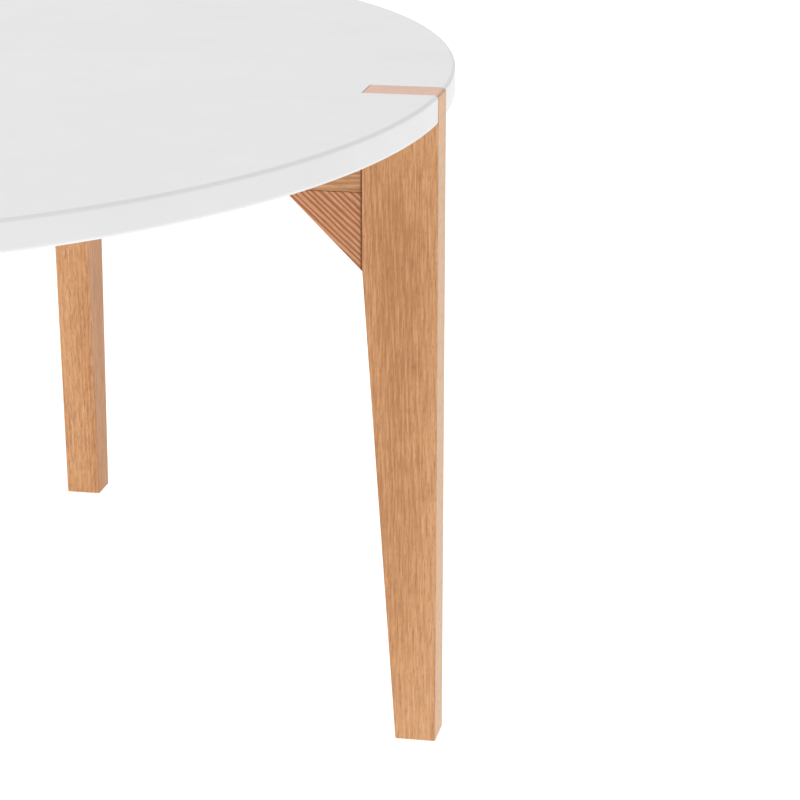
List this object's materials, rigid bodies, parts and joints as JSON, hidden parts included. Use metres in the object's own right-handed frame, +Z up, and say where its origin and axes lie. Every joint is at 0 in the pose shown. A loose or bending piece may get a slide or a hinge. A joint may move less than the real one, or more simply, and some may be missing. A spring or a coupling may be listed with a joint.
{
  "type": "gateleg table",
  "caption": "Oval table with a fold-over flap, plank legs let into the rim, corner gussets and a swing-out gate leg",
  "frame": {"origin": "on the floor, below the centre of the open oval top", "axes": "+Z up; +Y along the top's long axis; +X across it, from the flap towards the apex leg of the fixed part"},
  "size_m": [1.3, 1.64, 0.7534],
  "materials": {
    "white_lacquer": "satin white lacquer on board",
    "leg_oak": "oiled oak, grain along the leg",
    "beam_oak": "oiled oak, grain along the beam",
    "gusset_oak": "oiled oak, grain on the slant",
    "hinge_brass": "brushed brass",
    "zinc_steel": "zinc plated",
    "nylon": "matte moulded",
    "felt": "pressed felt"
  },
  "bodies": {
    "frame": {"fixed_top": "white_lacquer", "apex_leg": "leg_oak", "left_leg": "leg_oak", "right_leg": "leg_oak", "apex_beam": "beam_oak", "cross_rail": "beam_oak", "left_corner_block": "beam_oak", "right_corner_block": "beam_oak", "gate_stop": "beam_oak", "apex_gusset": "gusset_oak", "left_gusset": "gusset_oak", "right_gusset": "gusset_oak", "hinge_1_fixed_leaf": "hinge_brass", "hinge_2_fixed_leaf": "hinge_brass", "hinge_3_fixed_leaf": "hinge_brass", "apex_stud": "zinc_steel", "left_stud": "zinc_steel", "right_stud": "zinc_steel", "apex_barrel_nut": "zinc_steel", "left_barrel_nut": "zinc_steel", "right_barrel_nut": "zinc_steel", "upper_pivot_bracket": "zinc_steel", "lower_pivot_bracket": "zinc_steel", "pivot_pin": "zinc_steel", "catch_magnet": "zinc_steel", "hinge_1_pin": "zinc_steel", "hinge_2_pin": "zinc_steel", "hinge_3_pin": "zinc_steel", "top_bracket_1": "zinc_steel", "top_bracket_2": "zinc_steel", "top_bracket_3": "zinc_steel", "top_bracket_4": "zinc_steel", "top_bracket_1_screw": "zinc_steel", "top_bracket_2_screw": "zinc_steel", "top_bracket_3_screw": "zinc_steel", "top_bracket_4_screw": "zinc_steel", "apex_glide": "nylon", "left_glide": "nylon", "right_glide": "nylon", "upper_pivot_washer": "nylon", "lower_pivot_washer": "nylon", "gate_stop_pad": "felt"},
    "leaf": {"flap": "white_lacquer", "hinge_1_flap_leaf": "hinge_brass", "hinge_2_flap_leaf": "hinge_brass", "hinge_3_flap_leaf": "hinge_brass"},
    "gate": {"gate_post": "beam_oak", "gate_beam": "beam_oak", "gate_leg": "leg_oak", "gate_gusset": "gusset_oak", "gate_stud": "zinc_steel", "gate_barrel_nut": "zinc_steel", "gate_glide": "nylon", "catch_plate": "zinc_steel"}
  },
  "joints": [
    {"name": "leaf_fold", "type": "hinge", "parent": "frame", "child": "leaf", "pos_m": [-0.1, 0, 0.7505], "axis": [0, 1, 0], "range_deg": [0, 180]},
    {"name": "gate_swing", "type": "hinge", "parent": "frame", "child": "gate", "pos_m": [-0.05, 0, 0.65], "axis": [0, 0, -1], "range_deg": [0, 90]}
  ]
}
